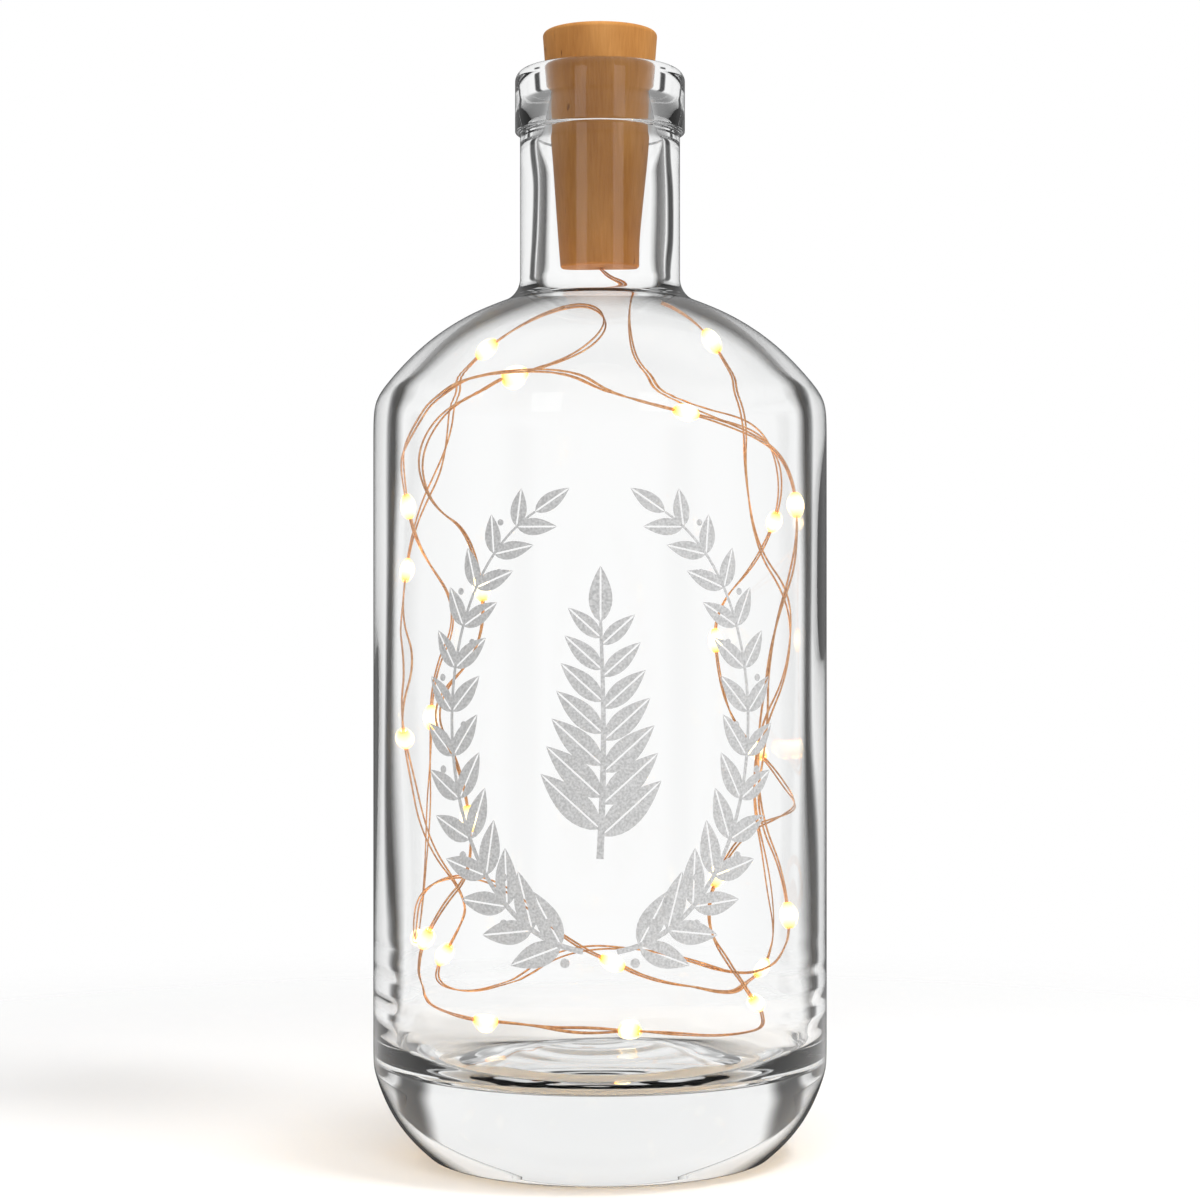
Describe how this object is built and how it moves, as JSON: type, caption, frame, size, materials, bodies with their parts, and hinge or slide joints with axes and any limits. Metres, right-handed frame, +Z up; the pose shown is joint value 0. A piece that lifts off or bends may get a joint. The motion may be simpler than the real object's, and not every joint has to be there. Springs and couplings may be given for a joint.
{
  "type": "cork bottle light",
  "caption": "Clear glass bottle with a cork-shaped battery light in its neck and a loose copper wire string of warm white micro-LEDs inside.",
  "frame": {"origin": "centre of the ring that the bottle stands on", "axes": "+Z up along the bottle's axis, -Y towards the viewer of the picture"},
  "size_m": [0.0864, 0.0864, 0.2144],
  "materials": {
    "clear_glass": "polished",
    "cork_look": "fine cork grain",
    "black_plastic": "moulded",
    "contact_metal": "plated",
    "cell_steel": "satin",
    "board_green": "solder mask",
    "resistor_black": "ceramic",
    "switch_steel": "plated",
    "slider_black": "moulded",
    "copper_wire": "enamelled copper",
    "led_epoxy": "clear epoxy, lit",
    "chip_yellow": "phosphor"
  },
  "bodies": {
    "bottle": {"glass_bottle": "clear_glass", "light_string": "copper_wire", "led_drop_01": "led_epoxy", "led_drop_02": "led_epoxy", "led_drop_03": "led_epoxy", "led_drop_04": "led_epoxy", "led_drop_05": "led_epoxy", "led_drop_06": "led_epoxy", "led_drop_07": "led_epoxy", "led_drop_08": "led_epoxy", "led_drop_09": "led_epoxy", "led_drop_10": "led_epoxy", "led_drop_11": "led_epoxy", "led_drop_12": "led_epoxy", "led_drop_13": "led_epoxy", "led_drop_14": "led_epoxy", "led_drop_15": "led_epoxy", "led_drop_16": "led_epoxy", "led_drop_17": "led_epoxy", "led_drop_18": "led_epoxy", "led_drop_19": "led_epoxy", "led_drop_20": "led_epoxy", "led_drop_21": "led_epoxy", "led_drop_22": "led_epoxy", "led_drop_23": "led_epoxy", "led_drop_24": "led_epoxy", "led_chips": "chip_yellow"},
    "cork": {"cork_shell": "cork_look", "contact_block": "black_plastic", "base_contact_plus": "contact_metal", "base_contact_minus": "contact_metal", "string_lead": "copper_wire"},
    "carrier": {"battery_carrier": "black_plastic", "battery_cell_1": "cell_steel", "battery_cell_2": "cell_steel", "battery_cell_3": "cell_steel", "upper_contact": "contact_metal", "lower_contact": "contact_metal", "return_strip": "contact_metal", "circuit_board": "board_green", "resistor": "resistor_black", "switch_case": "switch_steel", "switch_pins": "contact_metal", "top_cap": "cork_look"},
    "slider": {"switch_slider": "slider_black"}
  },
  "joints": [
    {"name": "cork_lift", "type": "slide", "parent": "bottle", "child": "cork", "axis": [0, 0, 1], "range_m": [0, 0.05], "deforming": ["string_lead"]},
    {"name": "carrier_pull", "type": "slide", "parent": "cork", "child": "carrier", "axis": [0, 0, 1], "range_m": [0, 0.04]},
    {"name": "switch_slide", "type": "slide", "parent": "carrier", "child": "slider", "axis": [1, 0, 0], "range_m": [-0.002, 0]}
  ]
}
